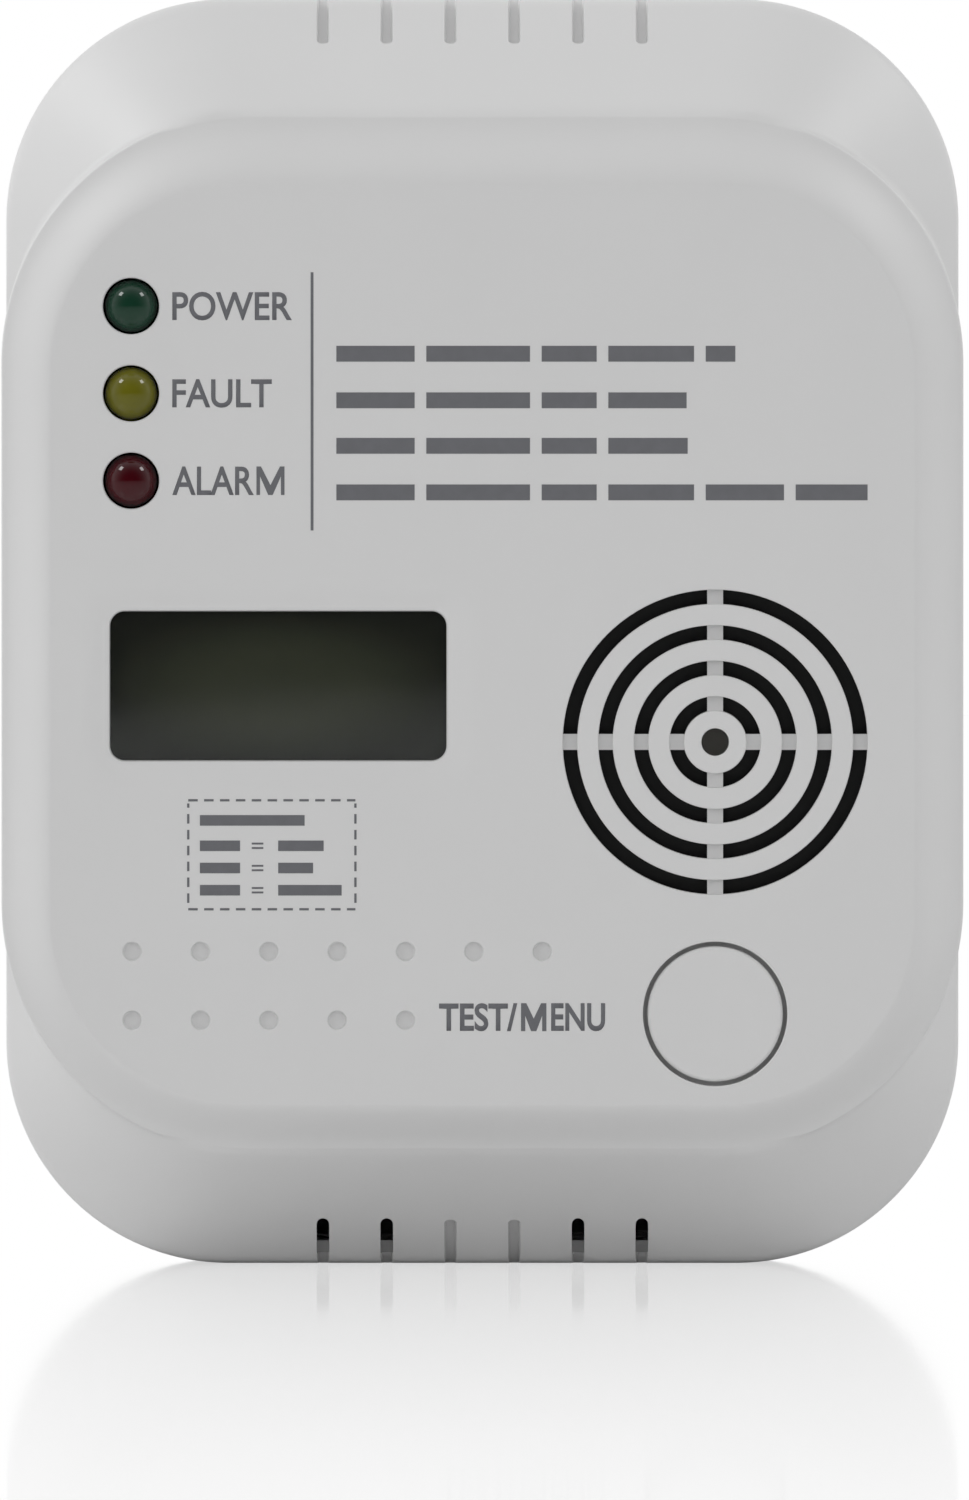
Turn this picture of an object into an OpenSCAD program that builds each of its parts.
// A battery-powered carbon monoxide detector that hangs on a wall or stands on its bottom edge.
// Every piece is drawn with the detector lying on its back: x runs to the right, y runs up the
// detector's height, and z runs from its back plane towards its face. stand_up() then stands the
// piece on the bottom edge, facing -Y, with the origin under the middle of the whole detector.

/* [Case] */
// Width of the case outline
case_w = 90.4; // [90:0.1:115]
// Height of the case
case_h = 120; // [118:0.5:150]
// Radius of the outline's corners
corner_r = 21; // [17:0.5:24]
// Thickness of the moulded case walls
wall = 2; // [1.6:0.1:2.4]
// Height of the upright band round the cover's open edge
edge_band = 2.5; // [2.2:0.1:4]
// Rounding of the back edges
back_round = 1.8; // [1:0.1:2]
// Gap between the housing's tongue and the cover's wall
tongue_gap = 0.1; // [0.05:0.05:0.3]
// Thickness of the housing's tongue
tongue_t = 1; // [0.8:0.1:1.4]

/* [Front panel] */
// How far the raised panel stands out past each side of the case
panel_proud = 0.3; // [0.1:0.1:0.8]
// Distance from the case's top and bottom edges to the panel
panel_inset = 10.8; // [8:0.1:12]
// Radius of the panel's corners
panel_r = 23.7; // [19:0.1:26]
// Rise of the sloping rim from the panel's edge to its flat face
rim_rise = 3.3; // [2:0.1:4]
// Width of the rim at each side
rim_side = 4.8; // [3:0.1:8]
// Width of the rim at the top
rim_top = 7; // [4:0.1:9]
// Width of the rim at the bottom
rim_bottom = 4.7; // [3:0.1:8]
// Slope of the shoulders that lead up to the panel, in degrees
shoulder_angle = 50; // [35:1:55]

/* [Lamps] */
// Diameter of a lamp's lens
led_d = 5; // [3:0.1:6]
// Distance from the case's left side to the column of lamps
led_from_left = 12; // [10:0.5:20]
// Distance from the case's top to the top lamp
led_from_top = 29.1; // [26:0.1:36]
// Distance between lamps
led_pitch = 8.25; // [7:0.05:10]
// How far a lamp's dome stands out of the face
led_proud = 0.9; // [0.4:0.1:2]
// Clearance round a lamp in its hole
led_gap = 0.15; // [0.1:0.05:0.3]

/* [Display] */
// Width of the display opening
lcd_w = 31.8; // [26:0.1:33]
// Height of the display opening
lcd_h = 14.1; // [10:0.1:18]
// Distance from the case's left side to the middle of the display
lcd_from_left = 25.9; // [24:0.1:32]
// Height of the middle of the display
lcd_y = 55; // [52:0.5:66]
// Thickness of the clear window
window_t = 1; // [0.8:0.1:1.5]
// Thickness of the display's glass
glass_t = 2.2; // [1.4:0.1:2.8]

/* [Sounder] */
// Outer radius of the grille's outermost slot
grille_r = 14.4; // [12:0.1:15]
// Distance from the case's right side to the middle of the grille
grille_from_right = 23.2; // [22:0.1:30]
// Height of the middle of the grille
grille_y = 49.7; // [48:0.1:60]
// Width of a ring slot
slot_w = 1.35; // [1:0.05:1.5]
// Distance from one ring slot to the next
slot_pitch = 3.36; // [3:0.02:3.5]
// Width of the spokes behind the ring slots
spoke_w = 1.5; // [1:0.1:3]
// Radius of the hole in the middle of the grille
grille_hole_r = 1.3; // [0.8:0.1:1.6]

/* [Test button] */
// Diameter of the button
button_d = 12.8; // [10:0.1:14]
// Gap round the button
button_gap = 0.42; // [0.3:0.02:0.6]
// Height of the middle of the button
button_y = 24; // [22:0.5:26]
// Travel of the button
button_travel = 0.5; // [0.3:0.1:0.8]

/* [Vents and dimples] */
// Distance between the vent slots
vent_pitch = 6.05; // [4:0.05:7]
// Number of vent slots along the top, and along the bottom
vent_count = 6; // [2:2:8]
// Length of a vent slot, seen from the front
vent_len = 4.4; // [3:0.1:6]
// Diameter of a dimple
dimple_d = 1.8; // [1:0.1:2.4]
// Distance between the dimples
dimple_pitch = 6.46; // [5:0.02:6.5]

/* [Batteries] */
// Diameter of an AA cell
cell_d = 14.5; // [14:0.1:15]
// Length of an AA cell with its positive button
cell_len = 50.5; // [49:0.1:51]
// Gap round a cell
cell_gap = 0.4; // [0.3:0.05:0.6]
// Thickness of the battery well's walls
well_wall = 1.4; // [1:0.1:2]
// Height of the bottom of the battery well
well_y = 24; // [23.5:0.5:30]
// Length of a compressed contact spring
spring_len = 3.6; // [2.5:0.1:5]
// Thickness of the battery door
door_t = 2; // [1.6:0.1:2.4]
// Gap round the battery door
door_gap = 0.35; // [0.3:0.05:0.6]
// Radius of the battery door's hinge pins
pin_r = 0.8; // [0.6:0.05:1]
// Clearance of a hinge pin in its hole
pin_gap = 0.06; // [0.03:0.01:0.1]

/* [Board] */
// Thickness of the circuit board
board_t = 1.6; // [1:0.1:2]
// Room between the battery well and the board
solder_room = 2.4; // [2:0.1:4]
// Room between the board and the front wall
front_room = 12.5; // [12.5:0.1:16]

/* [Mounting] */
// Distance between the two keyholes
key_pitch = 50; // [36:0.5:54]
// Radius of a keyhole's round entry
key_entry_r = 4.2; // [3.6:0.1:4.6]
// Width of a keyhole's slot
key_slot_w = 4.2; // [3:0.1:4.4]
// Distance from a keyhole's entry up to where the wall screw seats
key_drop = 8; // [7:0.5:10]
// Distance from the case's top to the middle of a keyhole's entry
key_from_top = 36; // [34:0.5:38]

/* [Hidden] */
$fn = 48;
// Overlap that joins two shapes of one piece
eps = 0.01;

// Depth of the detector, from the back plane to the face
well_top = door_t + cell_gap + cell_d + cell_gap + well_wall;
board_z = well_top + solder_room;
board_top = board_z + board_t;
face_under = board_top + front_room;
case_d = face_under + wall;
back_y = (case_d + led_proud) / 2;

// Outline of the case and the panel
left = -case_w / 2;
right = case_w / 2;
panel_w = case_w + 2 * panel_proud;
panel_h = case_h - 2 * panel_inset;
rim_z = case_d - rim_rise;
// A small step keeps the shoulder's upper edge just below the rim
crease_step = 0.1;
shoulder_z = rim_z - crease_step - panel_inset * tan(shoulder_angle);
split_z = shoulder_z - edge_band;
// Each row is a share of the rim's width and the share of its rise reached there
rim_steps = [[0, 0], [0.25, 0.19], [0.5, 0.5], [0.75, 0.82], [0.9, 0.95], [1, 1]];
edge_round = 0.7;
// How far the tongue stands up into the cover, short of where the cover's inside turns inwards
tongue_rise = edge_band - edge_round - wall * tan((90 - shoulder_angle) / 2) - 2 * tongue_gap;
// Segments in a quarter turn of a lofted corner, and in the rounding of the back edges
corner_steps = 12;
back_steps = 3;

// Places on the face
led_x = left + led_from_left;
led_y = [for (i = [0:2]) case_h - led_from_top - i * led_pitch];
lcd_x = left + lcd_from_left;
grille_x = right - grille_from_right;
button_x = grille_x;
dimple_x = left + 12.1;
dimple_rows = [[29.9, 7], [23.4, 5]];
dimple_depth = 0.7;

// Lamps
led_h = 8.6;
led_flange_h = 1;
led_flange_r = led_d / 2 + 0.4;
led_z = case_d + led_proud - led_h;
led_chamfer = 0.18;
lead_w = 0.5;
lead_spread = 1.27;

// Display
lcd_corner_r = 1.4;
lcd_bevel = 0.45;
pane_lap = 2;
pane_gap = 0.2;
glass_z = face_under - window_t - 0.4 - glass_t;
glass_lap = 1.8;
zebra_w = 2;
holder_wall = 1.5;
glass_w = lcd_w + 2 * glass_lap;
glass_h = lcd_h + 2 * glass_lap + zebra_w;

// Sounder
ring_count = 4;
spoke_drop = 0.8;
buzzer_wall = 1.4;
buzzer_r = grille_r + buzzer_wall;
gasket_t = 1.5;
buzzer_top = face_under - gasket_t;
plate_z = board_top + 5;
plate_r = buzzer_r - buzzer_wall - 0.4;
plate_t_brass = 0.3;
ceramic_t = 0.25;
ceramic_share = 0.7;
buzzer_hole_r = 3;

// Test button and its switch
button_r = button_d / 2;
button_recess = 0.2;
button_lip = 1.4;
button_flange_t = 1.2;
flange_clear = 0.4;
button_edge_r = 0.6;
stem_r = 2.2;
switch_w = 6;
switch_h = 3.5;
plunger_r = 1.75;
plunger_h = 1.5;
stem_clear = 0.1;

// Gas sensor
sensor_r = 10;
sensor_h = 9;
sensor_cap_h = 1.6;
sensor_pin_h = 0.5;
sensor_pin_r = 0.6;
sensor_pin_at = 6.5;
sensor_x = left + 25;
sensor_y = 24;

// Parts on the board
chip_y = case_h - 36;
chip_w = 10;
chip_t = 1.6;
chip_legs = 11;
driver_w = 4;
driver_h = 5;
driver_t = 1.5;
driver_legs = 4;
driver_at = [[-11, case_h - 18], [right - 26, case_h - 45]];
resistor_size = [1.2, 2, 0.55];
resistor_pitch = 4.2;
resistor_rows = [chip_y + 9, chip_y - 11];
capacitor_at = [right - 15, case_h - 29];
capacitor_r = 4;
capacitor_h = 11.4;
inductor_at = [right - 29, case_h - 24];
inductor_r = 4.2;
inductor_h = 8;
crystal_at = [12, case_h - 38];
crystal_w = 4.6;
crystal_l = 11;
crystal_h = 3.5;

// Vents
vent_w = 1.05;
vent_open_w = 1.2;
vent_lip = 1.04;
vent_depth = 1;

// Battery well, door and contacts
plate_t = 0.4;
nub_r = 2.75;
nub_h = 1;
cell_pitch = cell_d + cell_gap;
well_in_w = cell_len + spring_len + 2 * plate_t;
well_in_h = 3 * cell_pitch + cell_gap;
door_lap = 1.5;
door_w = well_in_w + 2 * door_lap;
door_h = well_in_h + 2 * door_lap;
door_y = well_y - door_lap;
ledge_t = 2;
ledge_gap = 0.2;
frame_lap = 3;
bead_r = 1.6;
hinge_y = door_y + bead_r;
pin_len = 1.5;
latch_w = 12;
latch_len = 5;
latch_t = 1;
latch_gap = 0.8;
nail_r = 8;
nail_depth = 1.1;
rib_count = 4;
rib_pitch = 2;
rib_depth = 0.4;
rib_inset = 4;
tab_w = 4;
tab_room = 1.2;
tab_rise = 1;
contact_w = 9;
coil_r = 4;
coil_wire_r = 0.4;
coil_turns = 4;
lead_r = 0.6;
lead_run = 4.5;

// Fasteners and bosses
screw_r = 1.5;
screw_head_r = 2.8;
screw_head_h = 1.9;
screw_len = 12;
screw_seat_z = 9;
boss_r = 3.5;
column_r = 4.4;
column_floor = 2;
thread_gap = 0.05;
board_screw_r = 1.15;
board_screw_len = 6;
board_head_r = 2.2;
board_head_h = 1.4;
post_r = 2.6;
board_inset = 5.2;
board_gap = 0.5;
case_screw_at = [
    for (x = [left + 10.7, right - 10.7], y = [17, case_h - 17]) [x, y]
];
post_at = [
    [left + 9.2, 38.5],
    [right - 9.2, 30],
    [right - 9.2, case_h - 48],
    [left + 25.2, case_h - 17]
];

// Keyholes and label
key_room = 5;
key_wall = 1.2;
key_y = case_h - key_from_top;
label_w = 32;
label_h = 20;
label_t = 0.15;
label_recess = 0.2;
label_gap = 0.3;

// Turns a piece from lying on its back to standing on its bottom edge
module stand_up() {
    translate([0, back_y, 0]) rotate([90, 0, 0]) children();
}

// A rounded rectangle about the origin
module round_rect(w, h, r) {
    square([w - 2 * r, h], center = true);
    square([w, h - 2 * r], center = true);
    for (x = [-1, 1], y = [-1, 1]) {
        translate([x * (w / 2 - r), y * (h / 2 - r)]) circle(r);
    }
}

// The case outline, drawn in by inset all round
module case_outline(inset) {
    translate([0, case_h / 2]) round_rect(case_w - 2 * inset, case_h - 2 * inset, corner_r - inset);
}

// Points round a rounded rectangle at height z, whose middle is at y
function ring(w, h, r, y, z) = [
    for (q = [0:3], k = [0:corner_steps])
        let (a = 90 * (q + k / corner_steps), sx = q == 0 || q == 3 ? 1 : -1, sy = q < 2 ? 1 : -1)
            [sx * (w / 2 - r) + r * cos(a), y + sy * (h / 2 - r) + r * sin(a), z]
];

// The case outline as a ring, drawn in by inset all round
function case_ring(inset, z) =
    ring(case_w - 2 * inset, case_h - 2 * inset, corner_r - inset, case_h / 2, z);

// The panel outline as a ring, at a share of the way across its rim and drawn in by inset
function rim_ring(share, inset, z) =
    let (
        side = rim_side * share + inset,
        top = rim_top * share + inset,
        bottom = rim_bottom * share + inset,
        h = panel_h - top - bottom
    )
    ring(panel_w - 2 * side, h, panel_r - (side + top) / 2, panel_inset + bottom + h / 2, z);

// A closed solid through a stack of rings, from the lowest to the highest
module loft(rings) {
    n = len(rings[0]);
    count = len(rings);
    points = [for (one = rings, p = one) p];
    lower = [
        for (k = [0:count - 2], j = [0:n - 1])
            [k * n + j, (k + 1) * n + j, (k + 1) * n + (j + 1) % n]
    ];
    upper = [
        for (k = [0:count - 2], j = [0:n - 1])
            [k * n + j, (k + 1) * n + (j + 1) % n, k * n + (j + 1) % n]
    ];
    floor_face = [for (j = [0:n - 1]) j];
    top_face = [for (j = [n - 1:-1:0]) (count - 1) * n + j];
    polyhedron(points = points, faces = concat(lower, upper, [floor_face], [top_face]));
}

// The sloping base of the cover, shrunk by skin from its outer surface
module base_solid(skin) {
    over = panel_inset + (skin > 0 ? skin : crease_step / 2);
    slope = tan(shoulder_angle);
    start = shoulder_z - skin / cos(shoulder_angle) + skin * slope;
    loft([
        case_ring(skin, split_z - (skin > 0 ? 1 : 0)),
        case_ring(skin, start - edge_round),
        case_ring(skin + edge_round, start + edge_round * slope - edge_round / 4),
        case_ring(over, start + (over - skin) * slope)
    ]);
}

// The raised panel of the cover, shrunk by skin from its outer surface
module panel_solid(skin) {
    loft(concat(
        [rim_ring(0, skin, split_z - (skin > 0 ? 1 : 0))],
        [for (s = rim_steps) rim_ring(s[0], skin, rim_z + s[1] * rim_rise - skin)]
    ));
}

// What is left of the cover after its hollow is taken out
module cover_shell() {
    difference() {
        union() {
            base_solid(0);
            panel_solid(0);
        }
        base_solid(wall);
        panel_solid(wall);
    }
}

// Bosses, posts and walls inside the cover, before they are trimmed to its inside
module cover_fittings() {
    boss_z = screw_seat_z + column_floor;
    for (p = case_screw_at) {
        translate([p[0], p[1], boss_z]) cylinder(r = boss_r, h = case_d - boss_z);
    }
    for (p = post_at) {
        translate([p[0], p[1], board_top]) cylinder(r = post_r, h = case_d - board_top);
    }
    // Guide round the test button
    translate([button_x, button_y, face_under - 4])
        cylinder(r = button_r + button_lip + flange_clear + well_wall, h = 4 + wall / 2);
    // Frame round the display window
    pane_w = lcd_w + 2 * (pane_lap + pane_gap + 1);
    pane_h = lcd_h + 2 * (pane_lap + pane_gap + 1);
    translate([lcd_x - pane_w / 2, lcd_y - pane_h / 2, face_under - window_t])
        cube([pane_w, pane_h, window_t + wall / 2]);
}

// A blind vent groove that runs up the shoulder from the case's edge
module vent_groove(length) {
    run = (length - vent_w / 2) / cos(shoulder_angle);
    translate([0, 0, shoulder_z]) rotate([shoulder_angle, 0, 0])
        translate([0, 0, -vent_depth]) linear_extrude(3 * vent_depth) {
            translate([-vent_w / 2, -3]) square([vent_w, run + 3]);
            translate([0, run]) circle(d = vent_w);
        }
}

// The opening of an open vent, straight through the shoulder
module vent_opening() {
    translate([0, 0, shoulder_z - edge_round]) linear_extrude(panel_inset) {
        translate([-vent_open_w / 2, vent_lip])
            square([vent_open_w, vent_len - vent_lip - vent_open_w / 2]);
        translate([0, vent_len - vent_open_w / 2]) circle(d = vent_open_w);
    }
}

function vent_x(i) = (i - (vent_count - 1) / 2) * vent_pitch;
// The two vents in the middle of the bottom row are closed
function vent_is_open(i) = abs(vent_x(i)) > vent_pitch;

module vents() {
    for (i = [0:vent_count - 1]) {
        translate([vent_x(i), 0, 0]) vent_groove(vent_len);
        translate([vent_x(i), case_h, 0]) mirror([0, 1, 0]) vent_groove(vent_len);
        if (vent_is_open(i)) {
            translate([vent_x(i), 0, 0]) vent_opening();
        }
    }
}

// The sounder's ring slots and centre hole, through the face
module grille_cut() {
    translate([grille_x, grille_y, face_under - 1]) {
        for (i = [0:ring_count - 1]) {
            outer = grille_r - i * slot_pitch;
            rotate_extrude() translate([outer - slot_w, 0]) square([slot_w, wall + 2]);
        }
        cylinder(r = grille_hole_r, h = wall + 2);
    }
}

// The cross that carries the rings, set back from the face
module grille_spokes() {
    spoke_z = face_under;
    translate([grille_x, grille_y, spoke_z]) difference() {
        for (a = [0, 90]) {
            rotate([0, 0, a]) translate([-grille_r - eps, -spoke_w / 2, 0])
                cube([2 * (grille_r + eps), spoke_w, wall - spoke_drop]);
        }
        translate([0, 0, -1]) cylinder(r = grille_hole_r, h = wall + 2);
    }
}

// Holes and sinkings in the face
module face_cuts() {
    for (y = led_y) {
        translate([led_x, y, face_under - 1]) cylinder(r = led_d / 2 + led_gap, h = wall + 2);
        translate([led_x, y, case_d - led_chamfer])
            cylinder(r1 = led_d / 2 + led_gap, r2 = led_d / 2 + led_gap + 2 * led_chamfer,
                     h = 2 * led_chamfer);
    }
    translate([lcd_x, lcd_y, face_under - 2]) linear_extrude(wall + 3)
        round_rect(lcd_w, lcd_h, lcd_corner_r);
    translate([lcd_x, lcd_y, case_d - lcd_bevel]) linear_extrude(1)
        round_rect(lcd_w + 2 * lcd_bevel, lcd_h + 2 * lcd_bevel, lcd_corner_r + lcd_bevel);
    translate([lcd_x, lcd_y, face_under - window_t - 1]) linear_extrude(window_t + 1)
        square([lcd_w + 2 * (pane_lap + pane_gap), lcd_h + 2 * (pane_lap + pane_gap)],
               center = true);
    translate([button_x, button_y, face_under - 1])
        cylinder(r = button_r + button_gap, h = wall + 2);
    translate([button_x, button_y, face_under - 5])
        cylinder(r = button_r + button_lip + flange_clear, h = 5);
    for (row = dimple_rows, i = [0:row[1] - 1]) {
        translate([dimple_x + i * dimple_pitch, row[0], case_d - dimple_depth])
            cylinder(d = dimple_d, h = 1);
    }
    for (p = case_screw_at) {
        translate([p[0], p[1], screw_seat_z])
            cylinder(r = screw_r + thread_gap, h = screw_len + 1);
    }
    for (p = post_at) {
        translate([p[0], p[1], board_top - 1])
            cylinder(r = board_screw_r + thread_gap, h = board_screw_len + 0.5);
    }
}

module front_cover() {
    color("#dededb") stand_up() {
        difference() {
            union() {
                cover_shell();
                intersection() {
                    cover_fittings();
                    union() {
                        base_solid(wall / 2);
                        panel_solid(wall / 2);
                        translate([0, case_h / 2, split_z - 10])
                            cube([case_w - 2 * wall, case_h - 2 * wall, 24], center = true);
                    }
                }
            }
            face_cuts();
            vents();
            grille_cut();
        }
        grille_spokes();
    }
}

// The housing's solid body, with its back edges rounded
module housing_solid() {
    loft(concat(
        [
            for (k = [0:back_steps])
                let (a = 90 * k / back_steps)
                    case_ring(back_round * (1 - sin(a)), back_round * (1 - cos(a)))
        ],
        [case_ring(0, split_z)]
    ));
}

// The tongue that centres the housing in the cover, open at the open vents
module housing_tongue() {
    difference() {
        union() {
            translate([0, 0, split_z - 3]) linear_extrude(3) case_outline(wall - eps);
            translate([0, 0, split_z - eps]) linear_extrude(tongue_rise)
                case_outline(wall + tongue_gap);
        }
        translate([0, 0, split_z - 4]) linear_extrude(4 + tongue_rise + 1)
            case_outline(wall + tongue_gap + tongue_t);
        for (i = [0:vent_count - 1]) {
            if (vent_is_open(i)) {
                translate([vent_x(i) - vent_pitch / 3, wall + eps, split_z - 4])
                    cube([2 * vent_pitch / 3, tongue_t + 1, 4 + tongue_rise + 1]);
            }
        }
    }
}

// The walls and ceiling of the battery well, and the ledge that the door rests on
module well_walls() {
    out_w = well_in_w + 2 * well_wall;
    out_h = well_in_h + 2 * well_wall;
    translate([-out_w / 2, well_y - well_wall, door_t + ledge_gap])
        cube([out_w, out_h, well_top - door_t - ledge_gap]);
    ledge_w = door_w + 2 * frame_lap;
    ledge_h = door_h + 2 * frame_lap;
    translate([-ledge_w / 2, door_y - frame_lap, wall / 2])
        cube([ledge_w, ledge_h, door_t + ledge_gap + ledge_t - wall / 2]);
}

// Room for the cells, the door and its hinge
module well_cuts() {
    translate([-well_in_w / 2, well_y, door_t])
        cube([well_in_w, well_in_h, well_top - well_wall - door_t]);
    translate([-door_w / 2 - door_gap, hinge_y, -1])
        cube([door_w + 2 * door_gap, door_h - bead_r + door_gap, door_t + ledge_gap + 1]);
    // Channel in which the door's hinge bead turns
    translate([-door_w / 2 - door_gap, hinge_y, bead_r]) rotate([0, 90, 0])
        cylinder(r = bead_r + door_gap, h = door_w + 2 * door_gap);
    translate([-door_w / 2 - door_gap, hinge_y - bead_r - door_gap, -1])
        cube([door_w + 2 * door_gap, bead_r + door_gap + eps, bead_r + 1]);
    // Holes for the hinge pins
    pin_reach = door_w / 2 + pin_len + door_gap;
    translate([-pin_reach, hinge_y, bead_r]) rotate([0, 90, 0])
        cylinder(r = pin_r + pin_gap, h = 2 * pin_reach);
    // Pocket for the latch
    translate([-latch_w / 2 - door_gap, well_y + well_in_h - eps, door_t])
        cube([latch_w + 2 * door_gap, door_lap + door_gap + latch_gap, latch_len + ledge_gap]);
    // Fingernail scoop above the door
    translate([0, door_y + door_h, -nail_r + nail_depth])
        cylinder(r = nail_r, h = nail_r);
    // Slots for the end tabs of the contacts
    for (s = [-1, 1]) {
        translate([s * (well_in_w / 2 - tab_room / 2), tab_y(s), well_top - well_wall / 2])
            cube([tab_room, tab_w + 2 * cell_gap, well_wall + 2 * eps], center = true);
    }
}

function cell_y(i) = well_y + cell_gap + cell_d / 2 + i * cell_pitch;
// The lead's tab is at the first cell on the left, and at the last cell on the right
function tab_y(side) = cell_y(side < 0 ? 0 : 2);

module key_pocket() {
    inner = key_entry_r + 0.2;
    translate([-inner - key_wall, key_y - inner - key_wall, wall - eps])
        cube([2 * (inner + key_wall), key_drop + 2 * (inner + key_wall), key_room + key_wall]);
}

module key_cuts() {
    inner = key_entry_r + 0.2;
    translate([-inner, key_y - inner, wall])
        cube([2 * inner, key_drop + 2 * inner, key_room]);
    translate([0, key_y, -1]) cylinder(r = key_entry_r, h = wall + 2);
    translate([-key_slot_w / 2, key_y, -1]) cube([key_slot_w, key_drop, wall + 2]);
    translate([0, key_y + key_drop, -1]) cylinder(r = key_slot_w / 2, h = wall + 2);
}

module rear_housing() {
    color("#d4d4d0") stand_up() difference() {
        union() {
            difference() {
                housing_solid();
                translate([0, 0, wall]) linear_extrude(split_z) case_outline(wall);
            }
            housing_tongue();
            well_walls();
            for (x = [-1, 1]) {
                translate([x * key_pitch / 2, 0, 0]) key_pocket();
            }
            for (p = case_screw_at) {
                translate([p[0], p[1], eps])
                    cylinder(r = column_r, h = screw_seat_z + column_floor - eps);
            }
        }
        well_cuts();
        for (x = [-1, 1]) {
            translate([x * key_pitch / 2, 0, 0]) key_cuts();
        }
        for (p = case_screw_at) {
            translate([p[0], p[1], -1]) {
                cylinder(r = screw_head_r + 0.3, h = screw_seat_z + 1);
                cylinder(r = screw_r + 0.2, h = screw_seat_z + column_floor + 2);
            }
        }
        translate([-label_w / 2 - label_gap, key_y - label_h / 2 - label_gap, -1])
            cube([label_w + 2 * label_gap, label_h + 2 * label_gap, 1 + label_recess]);
    }
}

module battery_door() {
    color("#d4d4d0") stand_up() difference() {
        union() {
            translate([-door_w / 2, hinge_y, 0]) cube([door_w, door_h - bead_r, door_t]);
            translate([-door_w / 2, hinge_y, bead_r]) rotate([0, 90, 0])
                cylinder(r = bead_r, h = door_w);
            translate([-door_w / 2 - pin_len, hinge_y, bead_r]) rotate([0, 90, 0])
                cylinder(r = pin_r, h = door_w + 2 * pin_len);
            // Latch leg at the middle of the free edge
            translate([-latch_w / 2, door_y + door_h - latch_t, door_t - eps])
                cube([latch_w, latch_t, latch_len - 0.5]);
        }
        // Grip grooves by the latch
        for (i = [0:rib_count - 1]) {
            translate([-latch_w, door_y + door_h - rib_inset - i * rib_pitch, -eps])
                cube([2 * latch_w, rib_pitch / 2, rib_depth + eps]);
        }
    }
}

module display_window() {
    color([0.75, 0.8, 0.78, 0.5]) stand_up()
        translate([lcd_x, lcd_y, face_under - window_t]) linear_extrude(window_t)
            round_rect(lcd_w + 2 * pane_lap, lcd_h + 2 * pane_lap, lcd_corner_r);
}

module lcd_panel() {
    color("#37382f") stand_up() translate([lcd_x, lcd_y, glass_z]) {
        translate([-glass_w / 2, -glass_h / 2, 0]) cube([glass_w, glass_h, glass_t / 2]);
        // The upper glass is shorter, which leaves the contact edge bare
        translate([-glass_w / 2, -glass_h / 2 + zebra_w, glass_t / 2 - eps])
            cube([glass_w, glass_h - zebra_w, glass_t / 2 + eps]);
    }
}

module lcd_holder() {
    out_w = glass_w + 2 * (pane_gap + holder_wall);
    out_h = glass_h + 2 * (pane_gap + holder_wall);
    shelf = 1.2;
    color("#e8e8e4") stand_up() translate([lcd_x, lcd_y, board_top]) difference() {
        translate([-out_w / 2, -out_h / 2, 0]) cube([out_w, out_h, glass_z + glass_t - board_top]);
        translate([-glass_w / 2 - pane_gap, -glass_h / 2 - pane_gap, glass_z - board_top])
            cube([glass_w + 2 * pane_gap, glass_h + 2 * pane_gap, glass_t + 1]);
        translate([-glass_w / 2 + shelf, -glass_h / 2 + shelf / 2, -1])
            cube([glass_w - 2 * shelf, glass_h - shelf, glass_z - board_top + 2]);
    }
}

module zebra_strips() {
    strip_len = glass_w - 4;
    color("#d8a6a0") stand_up() translate([lcd_x, lcd_y, board_top]) {
        for (s = [-1, 1]) {
            translate([-strip_len / 2, s * (glass_h / 2 - 0.8 - zebra_w / 2) - zebra_w / 2, 0])
                cube([strip_len, zebra_w, glass_z - board_top]);
        }
    }
}

module main_board() {
    color("#2f6b3c") stand_up() translate([0, 0, board_z]) difference() {
        linear_extrude(board_t) case_outline(board_inset);
        for (p = case_screw_at) {
            translate([p[0], p[1], -1]) cylinder(r = boss_r + board_gap, h = board_t + 2);
            translate([p[0] + (p[0] < 0 ? -20 : 0), p[1] - boss_r - board_gap, -1])
                cube([20, 2 * (boss_r + board_gap), board_t + 2]);
        }
        for (p = post_at) {
            translate([p[0], p[1], -1]) cylinder(r = board_screw_r + 0.2, h = board_t + 2);
        }
    }
}

// A lamp: a collar, a round body and a domed end
module led(y) {
    r = led_d / 2;
    stand_up() translate([led_x, y, led_z]) {
        cylinder(r = led_flange_r, h = led_flange_h);
        cylinder(r = r, h = led_h - r);
        intersection() {
            translate([0, 0, led_h - r]) sphere(r);
            translate([0, 0, led_h - r - 1]) cylinder(r = r, h = r + 2);
        }
    }
}

module led_power() {
    color("#254a36") led(led_y[0]);
}

module led_fault() {
    color("#8f8b2c") led(led_y[1]);
}

module led_alarm() {
    color("#5a1a22") led(led_y[2]);
}

module led_holder() {
    holder_w = 2 * led_flange_r + 2;
    color("#2a2a2a") stand_up() difference() {
        translate([led_x - holder_w / 2, led_y[2] - holder_w / 2, board_top])
            cube([holder_w, led_y[0] - led_y[2] + holder_w, led_z - board_top]);
        for (y = led_y, s = [-1, 1]) {
            translate([led_x + s * lead_spread, y, board_top - 1])
                cylinder(r = lead_w, h = led_z - board_top + 2);
        }
    }
}

module led_leads() {
    color("#c9c9c4") stand_up() {
        for (y = led_y, s = [-1, 1]) {
            translate([led_x + s * lead_spread - lead_w / 2, y - lead_w / 2, board_top])
                cube([lead_w, lead_w, led_z - board_top]);
        }
    }
}

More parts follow.
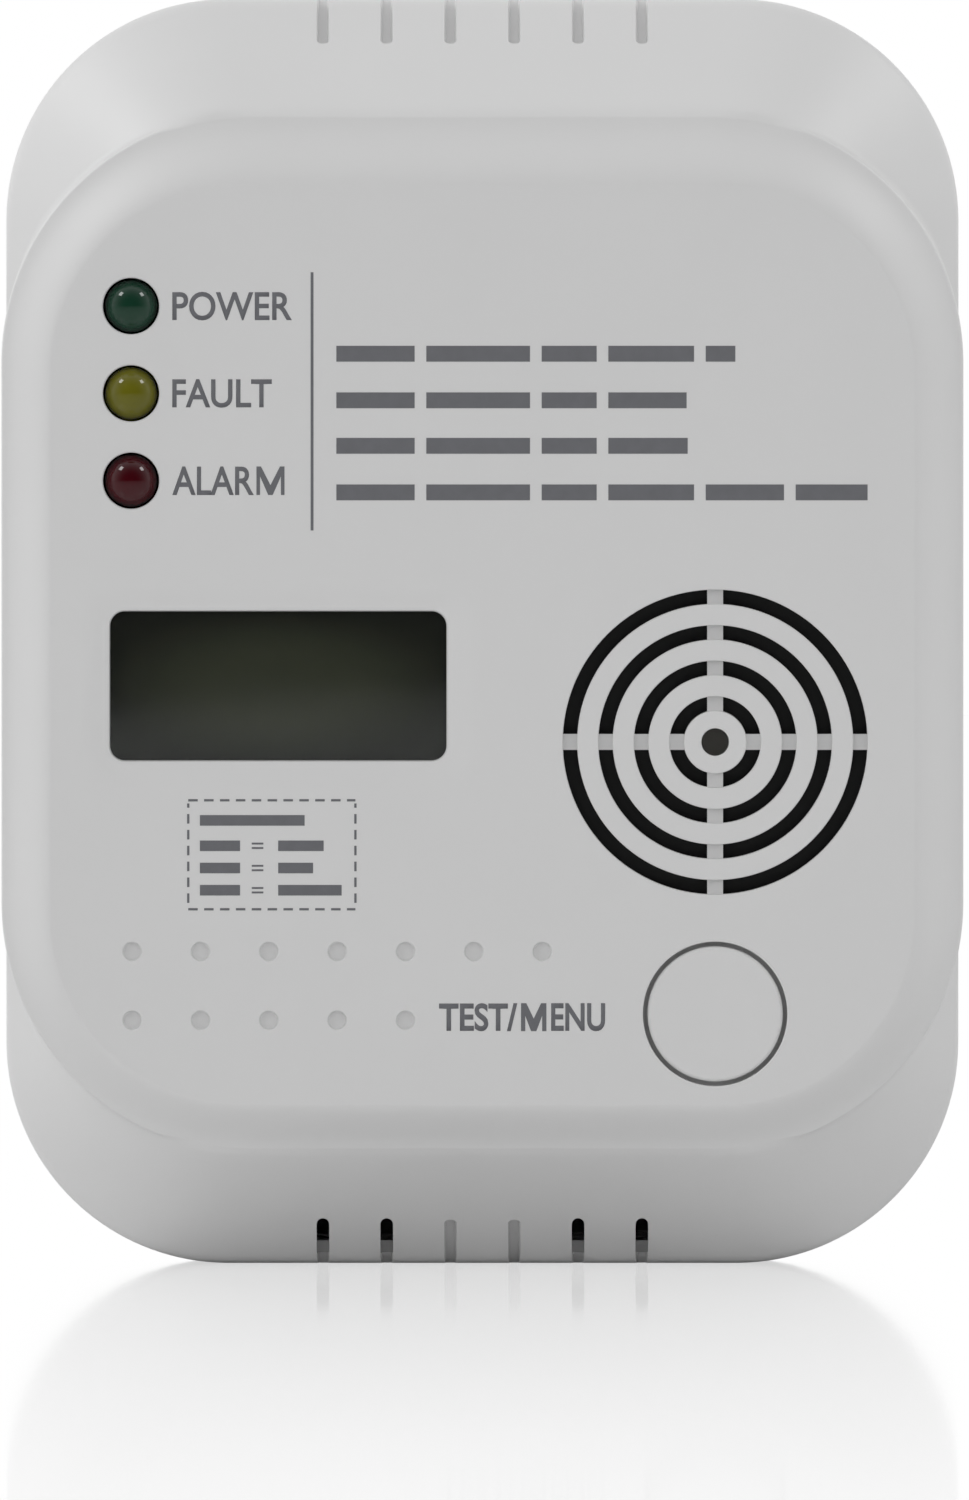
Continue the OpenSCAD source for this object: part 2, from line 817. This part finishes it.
module test_button() {
    cap_top = case_d - button_recess;
    flange_top = face_under - flange_clear;
    color("#dededb") stand_up() translate([button_x, button_y, 0]) {
        rotate_extrude() {
            stem_bottom = board_top + switch_h + plunger_h + stem_clear;
            translate([0, stem_bottom]) square([stem_r, flange_top - stem_bottom]);
            translate([0, flange_top - button_flange_t])
                square([button_r + button_lip, button_flange_t]);
            translate([0, flange_top - eps])
                square([button_r, cap_top - button_edge_r - flange_top + eps]);
            square_top = cap_top - button_edge_r - eps;
            translate([0, square_top]) square([button_r - button_edge_r, button_edge_r + eps]);
            translate([button_r - button_edge_r, cap_top - button_edge_r]) circle(button_edge_r);
        }
    }
}

module switch_body() {
    color("#2b2b2b") stand_up() translate([button_x, button_y, board_top]) difference() {
        translate([-switch_w / 2, -switch_w / 2, 0]) cube([switch_w, switch_w, switch_h]);
        translate([0, 0, 1]) cylinder(r = plunger_r + 0.3, h = switch_h);
    }
}

module switch_plunger() {
    color("#3a3a3a") stand_up()
        translate([button_x, button_y, board_top + 1 + button_travel + 0.3])
            cylinder(r = plunger_r, h = switch_h + plunger_h - 1 - button_travel - 0.3);
}

module switch_legs() {
    leg_w = 0.7;
    color("#c9c9c4") stand_up() translate([button_x, button_y, board_top]) {
        for (x = [-1, 1], y = [-1, 1]) {
            translate([x * (switch_w / 2 + 0.8) - 0.8, y * 2.25 - leg_w / 2, 0])
                cube([1.6, leg_w, 0.3]);
        }
    }
}

module buzzer_case() {
    color("#1e1e1e") stand_up() translate([grille_x, grille_y, board_top]) {
        difference() {
            cylinder(r = buzzer_r, h = buzzer_top - board_top);
            translate([0, 0, -1])
                cylinder(r = buzzer_r - buzzer_wall, h = buzzer_top - board_top - buzzer_wall + 1);
            cylinder(r = buzzer_hole_r, h = buzzer_top);
        }
        // Ledge that the sounder's plate rests on
        translate([0, 0, plate_z - board_top - 1]) difference() {
            cylinder(r = buzzer_r - buzzer_wall + eps, h = 1);
            translate([0, 0, -1]) cylinder(r = plate_r - 1.2, h = 3);
        }
    }
}

module buzzer_plate() {
    color("#b9974a") stand_up() translate([grille_x, grille_y, plate_z])
        cylinder(r = plate_r, h = plate_t_brass);
}

module buzzer_ceramic() {
    color("#dcd8cc") stand_up() translate([grille_x, grille_y, plate_z + plate_t_brass])
        cylinder(r = plate_r * ceramic_share, h = ceramic_t);
}

module buzzer_gasket() {
    color("#262626") stand_up() translate([grille_x, grille_y, buzzer_top]) difference() {
        cylinder(r = buzzer_r, h = gasket_t);
        translate([0, 0, -1]) cylinder(r = grille_r + 0.1, h = gasket_t + 2);
    }
}

module sensor_can() {
    color("#b8b8b6") stand_up() translate([sensor_x, sensor_y, board_top + sensor_pin_h])
        cylinder(r = sensor_r, h = sensor_h);
}

module sensor_cap() {
    hole_count = 6;
    color("#222222") stand_up()
        translate([sensor_x, sensor_y, board_top + sensor_pin_h + sensor_h]) difference() {
            cylinder(r = sensor_r - 1.5, h = sensor_cap_h);
            for (i = [0:hole_count - 1]) {
                rotate([0, 0, i * 360 / hole_count]) translate([sensor_r / 2, 0, -1])
                    cylinder(r = 0.8, h = sensor_cap_h + 2);
            }
        }
}

module sensor_pins() {
    pin_count = 3;
    color("#c9b26a") stand_up() translate([sensor_x, sensor_y, board_top]) {
        for (i = [0:pin_count - 1]) {
            rotate([0, 0, i * 360 / pin_count]) translate([sensor_pin_at, 0, 0])
                cylinder(r = sensor_pin_r, h = sensor_pin_h);
        }
    }
}

// A moulded chip with legs along two or four sides
module chip(w, h, t, legs, four_sides) {
    leg_pitch = (h - 1.5) / (legs - 1);
    translate([-w / 2, -h / 2, 0.1]) cube([w, h, t - 0.1]);
    for (a = four_sides ? [0, 90] : [0], s = [-1, 1], i = [0:legs - 1]) {
        rotate([0, 0, a])
            translate([s * (w / 2 + 0.4) - 0.5, (i - (legs - 1) / 2) * leg_pitch - 0.15, 0])
                cube([1, 0.3, 0.5]);
    }
}

module microcontroller() {
    color("#232323") stand_up()
        translate([0, chip_y, board_top]) chip(chip_w, chip_w, chip_t, chip_legs, true);
}

module driver_chips() {
    color("#232323") stand_up() {
        for (p = driver_at) {
            translate([p[0], p[1], board_top])
                chip(driver_w, driver_h, driver_t, driver_legs, false);
        }
    }
}

// Two rows of small chip resistors beside the microcontroller
module chip_resistors() {
    row_len = 6;
    color("#303030") stand_up() {
        for (y = resistor_rows, i = [0:row_len - 1]) {
            translate([-12 + i * resistor_pitch, y, board_top]) cube(resistor_size);
        }
    }
}

// A can capacitor with a groove rolled in above its foot
module capacitor() {
    groove = 0.3;
    foot_h = 0.8;
    body_z = 2;
    color("#2c3550") stand_up() translate([capacitor_at[0], capacitor_at[1], board_top])
        rotate_extrude() {
            square([capacitor_r, foot_h]);
            square([capacitor_r - groove, body_z]);
            translate([0, body_z]) square([capacitor_r, capacitor_h - body_z - groove]);
            square([capacitor_r - groove, capacitor_h]);
        }
}

// A wound inductor: a core between two flanges
module inductor() {
    flange_h = 1.5;
    color("#3c3c3c") stand_up() translate([inductor_at[0], inductor_at[1], board_top])
        rotate_extrude() {
            square([inductor_r, flange_h]);
            square([inductor_r - 1, inductor_h]);
            translate([0, inductor_h - flange_h]) square([inductor_r, flange_h]);
        }
}

module crystal() {
    color("#c4c4c2") stand_up() translate([crystal_at[0], crystal_at[1], board_top])
        linear_extrude(crystal_h) round_rect(crystal_w, crystal_l, crystal_w / 2 - 0.05);
}

// One AA cell; its positive end points to the right when side is 1
module cell(i, side) {
    start = side > 0 ? -well_in_w / 2 + plate_t + spring_len
                     : well_in_w / 2 - plate_t - spring_len;
    color("#3c6ea5") stand_up() translate([start, cell_y(i), door_t + cell_gap + cell_d / 2])
        rotate([0, side * 90, 0]) {
            cylinder(d = cell_d, h = cell_len - nub_h);
            cylinder(r = nub_r, h = cell_len);
        }
}

module cell_1() {
    cell(0, 1);
}

module cell_2() {
    cell(1, -1);
}

module cell_3() {
    cell(2, 1);
}

// A coil spring along +z as one swept tube
module coil_spring(r, wire_r, length, turns) {
    sides = 8;
    steps = 14 * turns;
    rise = length - 2 * wire_r;
    rings = [
        for (k = [0:steps]) let (a = 360 * turns * k / steps, c = r - 1.2 * k / steps)
            for (j = [0:sides - 1]) let (b = 360 * j / sides)
                [
                    (c + wire_r * cos(b)) * cos(a),
                    (c + wire_r * cos(b)) * sin(a),
                    wire_r + rise * k / steps + wire_r * sin(b)
                ]
    ];
    walls = [
        for (k = [0:steps - 1], j = [0:sides - 1]) let (n = (j + 1) % sides)
            [k * sides + j, (k + 1) * sides + j, (k + 1) * sides + n, k * sides + n]
    ];
    first = [for (j = [0:sides - 1]) j];
    last = [for (j = [sides - 1:-1:0]) steps * sides + j];
    polyhedron(points = rings, faces = concat(walls, [first], [last]));
}

module contact_springs() {
    color("#bfc0bd") stand_up() {
        for (i = [0:2]) {
            side = i == 1 ? 1 : -1;
            translate([side * (well_in_w / 2 - plate_t), cell_y(i), door_t + cell_gap + cell_d / 2])
                rotate([0, -side * 90, 0]) coil_spring(coil_r, coil_wire_r, spring_len, coil_turns);
        }
    }
}

// Four plates: one at each end of the row of cells in series, and two that link neighbours
module contact_plates() {
    mid_z = door_t + cell_gap + cell_d / 2;
    color("#c6c7c4") stand_up() {
        for (s = [-1, 1]) {
            x = s < 0 ? -well_in_w / 2 : well_in_w / 2 - plate_t;
            single = s < 0 ? 0 : 2;
            pair = s < 0 ? 1 : 0;
            translate([x, cell_y(single) - contact_w / 2, mid_z - contact_w / 2])
                cube([plate_t, contact_w, contact_w]);
            // The tab stands up through the well's ceiling to the lead
            translate([x, tab_y(s) - tab_w / 2, mid_z])
                cube([plate_t, tab_w, well_top + tab_rise - mid_z]);
            translate([x, cell_y(pair) - contact_w / 2, mid_z - contact_w / 2])
                cube([plate_t, cell_pitch + contact_w, contact_w]);
        }
    }
}

// A short insulated lead from a contact's tab to the board's underside
module lead(side) {
    x0 = side < 0 ? -well_in_w / 2 - 0.05 : well_in_w / 2 + 0.05;
    z = well_top + tab_rise - 0.3;
    stand_up() translate([x0, tab_y(side), z]) {
        rotate([0, side * 90, 0]) cylinder(r = lead_r, h = lead_run);
        translate([side * lead_run, 0, 0]) sphere(lead_r);
        translate([side * lead_run, 0, 0]) cylinder(r = lead_r, h = board_z - z);
    }
}

module lead_red() {
    color("#a3262a") lead(1);
}

module lead_black() {
    color("#1c1c1c") lead(-1);
}

// A cross-headed screw along +z, with the underside of its head at z = 0
module pan_screw(r, length, head_r, head_h) {
    difference() {
        union() {
            cylinder(r = r, h = length);
            translate([0, 0, -head_h]) cylinder(r = head_r, h = head_h);
        }
        for (a = [0, 90]) {
            rotate([0, 0, a]) translate([-head_r * 0.6, -0.3, -head_h - eps])
                cube([head_r * 1.2, 0.6, head_h * 0.6]);
        }
    }
}

module case_screws() {
    color("#a9aaa8") stand_up() {
        for (p = case_screw_at) {
            translate([p[0], p[1], screw_seat_z])
                pan_screw(screw_r, screw_len, screw_head_r, screw_head_h);
        }
    }
}

module board_screws() {
    color("#a9aaa8") stand_up() {
        for (p = post_at) {
            translate([p[0], p[1], board_z])
                pan_screw(board_screw_r, board_screw_len, board_head_r, board_head_h);
        }
    }
}

module rating_label() {
    color("#f0f0ee") stand_up()
        translate([-label_w / 2, key_y - label_h / 2, label_recess - label_t])
            cube([label_w, label_h, label_t]);
}

front_cover();
rear_housing();
battery_door();
display_window();
lcd_panel();
lcd_holder();
zebra_strips();
main_board();
led_power();
led_fault();
led_alarm();
led_holder();
led_leads();
test_button();
switch_body();
switch_plunger();
switch_legs();
buzzer_case();
buzzer_plate();
buzzer_ceramic();
buzzer_gasket();
sensor_can();
sensor_cap();
sensor_pins();
microcontroller();
driver_chips();
chip_resistors();
capacitor();
inductor();
crystal();
cell_1();
cell_2();
cell_3();
contact_springs();
contact_plates();
lead_red();
lead_black();
case_screws();
board_screws();
rating_label();
